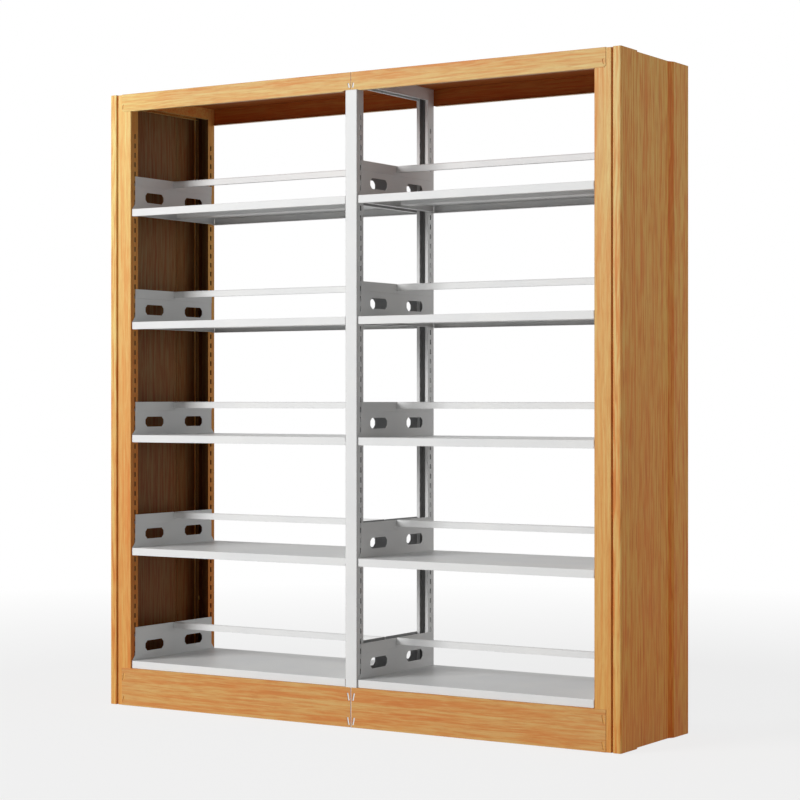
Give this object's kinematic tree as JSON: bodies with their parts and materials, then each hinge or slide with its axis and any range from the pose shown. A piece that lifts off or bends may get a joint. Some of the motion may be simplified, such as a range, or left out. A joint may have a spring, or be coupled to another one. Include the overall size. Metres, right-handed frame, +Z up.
{
  "type": "metal bookcase",
  "caption": "Free-standing open steel bookcase: slotted posts, hook-on shelf brackets, tray decks with stop bars, wood-grain side panels, top covers and plinths.",
  "frame": {"origin": "on the floor, under the middle of the bookcase's outer box", "axes": "+Z up, +X along the two bays to the right, +Y from the front to the rear"},
  "size_m": [1.868, 0.45, 2],
  "materials": {
    "white_powder_coat": "semi-gloss powder coat",
    "wood_grain_coat": "satin coat printed with a beech grain",
    "zinc_plate": "zinc plated",
    "black_plastic": "moulded"
  },
  "bodies": {
    "root": {"post_left_front": "wood_grain_coat", "post_left_rear": "wood_grain_coat", "top_beam_left": "wood_grain_coat", "base_beam_left": "wood_grain_coat", "post_centre_front": "white_powder_coat", "post_centre_rear": "white_powder_coat", "top_beam_centre": "white_powder_coat", "base_beam_centre": "white_powder_coat", "post_right_front": "wood_grain_coat", "post_right_rear": "wood_grain_coat", "top_beam_right": "wood_grain_coat", "base_beam_right": "wood_grain_coat", "foot_plates": "zinc_plate", "side_panel_left": "wood_grain_coat", "top_cover_left": "wood_grain_coat", "plinth_left_front": "wood_grain_coat", "plinth_left_rear": "wood_grain_coat", "side_panel_right": "wood_grain_coat", "top_cover_right": "wood_grain_coat", "plinth_right_front": "wood_grain_coat", "plinth_right_rear": "wood_grain_coat"},
    "shelf_left_1": {"deck_left_1": "white_powder_coat", "brackets_left_1": "white_powder_coat", "stop_bar_left_1": "white_powder_coat"},
    "shelf_left_2": {"deck_left_2": "white_powder_coat", "brackets_left_2": "white_powder_coat", "stop_bar_left_2": "white_powder_coat"},
    "shelf_left_3": {"deck_left_3": "white_powder_coat", "brackets_left_3": "white_powder_coat", "stop_bar_left_3": "white_powder_coat"},
    "shelf_left_4": {"deck_left_4": "white_powder_coat", "brackets_left_4": "white_powder_coat", "stop_bar_left_4": "white_powder_coat"},
    "shelf_left_5": {"deck_left_5": "white_powder_coat", "brackets_left_5": "white_powder_coat", "stop_bar_left_5": "white_powder_coat"},
    "shelf_right_1": {"deck_right_1": "white_powder_coat", "brackets_right_1": "white_powder_coat", "stop_bar_right_1": "white_powder_coat"},
    "shelf_right_2": {"deck_right_2": "white_powder_coat", "brackets_right_2": "white_powder_coat", "stop_bar_right_2": "white_powder_coat"},
    "shelf_right_3": {"deck_right_3": "white_powder_coat", "brackets_right_3": "white_powder_coat", "stop_bar_right_3": "white_powder_coat"},
    "shelf_right_4": {"deck_right_4": "white_powder_coat", "brackets_right_4": "white_powder_coat", "stop_bar_right_4": "white_powder_coat"},
    "shelf_right_5": {"deck_right_5": "white_powder_coat", "brackets_right_5": "white_powder_coat", "stop_bar_right_5": "white_powder_coat"},
    "foot_left_front": {"foot_left_front": "black_plastic"},
    "foot_left_rear": {"foot_left_rear": "black_plastic"},
    "foot_centre_front": {"foot_centre_front": "black_plastic"},
    "foot_centre_rear": {"foot_centre_rear": "black_plastic"},
    "foot_right_front": {"foot_right_front": "black_plastic"},
    "foot_right_rear": {"foot_right_rear": "black_plastic"}
  },
  "joints": [
    {"name": "shelf_left_1_lift", "type": "slide", "parent": "root", "child": "shelf_left_1", "axis": [0, 0, 1], "range_m": [0, 0.0068]},
    {"name": "shelf_left_2_lift", "type": "slide", "parent": "root", "child": "shelf_left_2", "axis": [0, 0, 1], "range_m": [0, 0.0068]},
    {"name": "shelf_left_3_lift", "type": "slide", "parent": "root", "child": "shelf_left_3", "axis": [0, 0, 1], "range_m": [0, 0.0068]},
    {"name": "shelf_left_4_lift", "type": "slide", "parent": "root", "child": "shelf_left_4", "axis": [0, 0, 1], "range_m": [0, 0.0068]},
    {"name": "shelf_left_5_lift", "type": "slide", "parent": "root", "child": "shelf_left_5", "axis": [0, 0, 1], "range_m": [0, 0.0068]},
    {"name": "shelf_right_1_lift", "type": "slide", "parent": "root", "child": "shelf_right_1", "axis": [0, 0, 1], "range_m": [0, 0.0068]},
    {"name": "shelf_right_2_lift", "type": "slide", "parent": "root", "child": "shelf_right_2", "axis": [0, 0, 1], "range_m": [0, 0.0068]},
    {"name": "shelf_right_3_lift", "type": "slide", "parent": "root", "child": "shelf_right_3", "axis": [0, 0, 1], "range_m": [0, 0.0068]},
    {"name": "shelf_right_4_lift", "type": "slide", "parent": "root", "child": "shelf_right_4", "axis": [0, 0, 1], "range_m": [0, 0.0068]},
    {"name": "shelf_right_5_lift", "type": "slide", "parent": "root", "child": "shelf_right_5", "axis": [0, 0, 1], "range_m": [0, 0.0068]},
    {"name": "foot_left_front_turn", "type": "hinge", "parent": "root", "child": "foot_left_front", "pos_m": [-0.87575, -0.2055, 0], "axis": [0, 0, 1], "continuous": true},
    {"name": "foot_left_rear_turn", "type": "hinge", "parent": "root", "child": "foot_left_rear", "pos_m": [-0.87575, 0.2055, 0], "axis": [0, 0, 1], "continuous": true},
    {"name": "foot_centre_front_turn", "type": "hinge", "parent": "root", "child": "foot_centre_front", "pos_m": [0.017, -0.2055, 0], "axis": [0, 0, 1], "continuous": true},
    {"name": "foot_centre_rear_turn", "type": "hinge", "parent": "root", "child": "foot_centre_rear", "pos_m": [0.017, 0.2055, 0], "axis": [0, 0, 1], "continuous": true},
    {"name": "foot_right_front_turn", "type": "hinge", "parent": "root", "child": "foot_right_front", "pos_m": [0.87575, -0.2055, 0], "axis": [0, 0, 1], "continuous": true},
    {"name": "foot_right_rear_turn", "type": "hinge", "parent": "root", "child": "foot_right_rear", "pos_m": [0.87575, 0.2055, 0], "axis": [0, 0, 1], "continuous": true}
  ]
}
